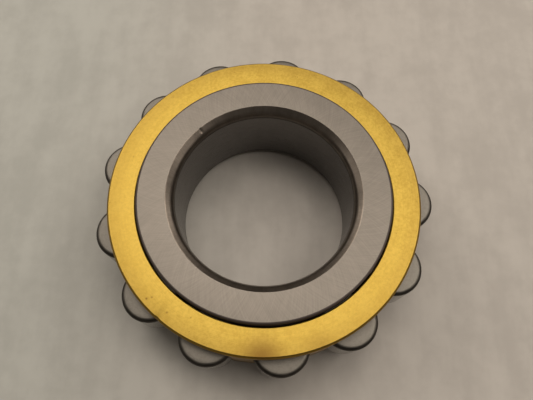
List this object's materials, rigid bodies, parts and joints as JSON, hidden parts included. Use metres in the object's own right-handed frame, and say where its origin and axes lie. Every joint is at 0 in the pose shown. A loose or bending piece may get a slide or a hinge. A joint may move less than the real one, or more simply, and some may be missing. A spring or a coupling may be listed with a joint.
{
  "type": "cylindrical roller bearing",
  "caption": "Cylindrical roller bearing without an outer ring: ribbed inner ring and a crown of steel rollers in a machined two-piece brass cage.",
  "frame": {"origin": "centre of the bore at the bearing's mid-width", "axes": "+Z along the bearing's axis, out of the cage's plain face; +X through the axis of roller_01"},
  "size_m": [0.0854, 0.086, 0.025],
  "materials": {
    "ring_steel": "ground faces and raceway, darker turned corners",
    "roller_steel": "ground all over, with dark unground corners",
    "cage_brass": "satin, turned and bored"
  },
  "bodies": {
    "inner_ring": {"inner_ring": "ring_steel"},
    "cage": {"cage_body": "cage_brass", "cage_cover": "cage_brass"},
    "roller_01": {"roller_01": "roller_steel"},
    "roller_02": {"roller_02": "roller_steel"},
    "roller_03": {"roller_03": "roller_steel"},
    "roller_04": {"roller_04": "roller_steel"},
    "roller_05": {"roller_05": "roller_steel"},
    "roller_06": {"roller_06": "roller_steel"},
    "roller_07": {"roller_07": "roller_steel"},
    "roller_08": {"roller_08": "roller_steel"},
    "roller_09": {"roller_09": "roller_steel"},
    "roller_10": {"roller_10": "roller_steel"},
    "roller_11": {"roller_11": "roller_steel"},
    "roller_12": {"roller_12": "roller_steel"},
    "roller_13": {"roller_13": "roller_steel"}
  },
  "joints": [
    {"name": "cage_spin", "type": "hinge", "parent": "inner_ring", "child": "cage", "pos_m": [0, 0, 0], "axis": [0, 0, 1], "continuous": true},
    {"name": "roller_01_spin", "type": "hinge", "parent": "cage", "child": "roller_01", "pos_m": [0.03625, 0, 0], "axis": [0, 0, 1], "continuous": true},
    {"name": "roller_02_spin", "type": "hinge", "parent": "cage", "child": "roller_02", "pos_m": [0.0321, 0.01685, 0], "axis": [0, 0, 1], "continuous": true},
    {"name": "roller_03_spin", "type": "hinge", "parent": "cage", "child": "roller_03", "pos_m": [0.02059, 0.02983, 0], "axis": [0, 0, 1], "continuous": true},
    {"name": "roller_04_spin", "type": "hinge", "parent": "cage", "child": "roller_04", "pos_m": [0.00437, 0.03599, 0], "axis": [0, 0, 1], "continuous": true},
    {"name": "roller_05_spin", "type": "hinge", "parent": "cage", "child": "roller_05", "pos_m": [-0.01285, 0.03389, 0], "axis": [0, 0, 1], "continuous": true},
    {"name": "roller_06_spin", "type": "hinge", "parent": "cage", "child": "roller_06", "pos_m": [-0.02713, 0.02404, 0], "axis": [0, 0, 1], "continuous": true},
    {"name": "roller_07_spin", "type": "hinge", "parent": "cage", "child": "roller_07", "pos_m": [-0.0352, 0.00868, 0], "axis": [0, 0, 1], "continuous": true},
    {"name": "roller_08_spin", "type": "hinge", "parent": "cage", "child": "roller_08", "pos_m": [-0.0352, -0.00868, 0], "axis": [0, 0, 1], "continuous": true},
    {"name": "roller_09_spin", "type": "hinge", "parent": "cage", "child": "roller_09", "pos_m": [-0.02713, -0.02404, 0], "axis": [0, 0, 1], "continuous": true},
    {"name": "roller_10_spin", "type": "hinge", "parent": "cage", "child": "roller_10", "pos_m": [-0.01285, -0.03389, 0], "axis": [0, 0, 1], "continuous": true},
    {"name": "roller_11_spin", "type": "hinge", "parent": "cage", "child": "roller_11", "pos_m": [0.00437, -0.03599, 0], "axis": [0, 0, 1], "continuous": true},
    {"name": "roller_12_spin", "type": "hinge", "parent": "cage", "child": "roller_12", "pos_m": [0.02059, -0.02983, 0], "axis": [0, 0, 1], "continuous": true},
    {"name": "roller_13_spin", "type": "hinge", "parent": "cage", "child": "roller_13", "pos_m": [0.0321, -0.01685, 0], "axis": [0, 0, 1], "continuous": true}
  ],
  "couplings": [
    {"joint": "roller_01_spin", "follows": "cage_spin", "ratio": 4.1786},
    {"joint": "roller_02_spin", "follows": "cage_spin", "ratio": 4.1786},
    {"joint": "roller_03_spin", "follows": "cage_spin", "ratio": 4.1786},
    {"joint": "roller_04_spin", "follows": "cage_spin", "ratio": 4.1786},
    {"joint": "roller_05_spin", "follows": "cage_spin", "ratio": 4.1786},
    {"joint": "roller_06_spin", "follows": "cage_spin", "ratio": 4.1786},
    {"joint": "roller_07_spin", "follows": "cage_spin", "ratio": 4.1786},
    {"joint": "roller_08_spin", "follows": "cage_spin", "ratio": 4.1786},
    {"joint": "roller_09_spin", "follows": "cage_spin", "ratio": 4.1786},
    {"joint": "roller_10_spin", "follows": "cage_spin", "ratio": 4.1786},
    {"joint": "roller_11_spin", "follows": "cage_spin", "ratio": 4.1786},
    {"joint": "roller_12_spin", "follows": "cage_spin", "ratio": 4.1786},
    {"joint": "roller_13_spin", "follows": "cage_spin", "ratio": 4.1786}
  ]
}
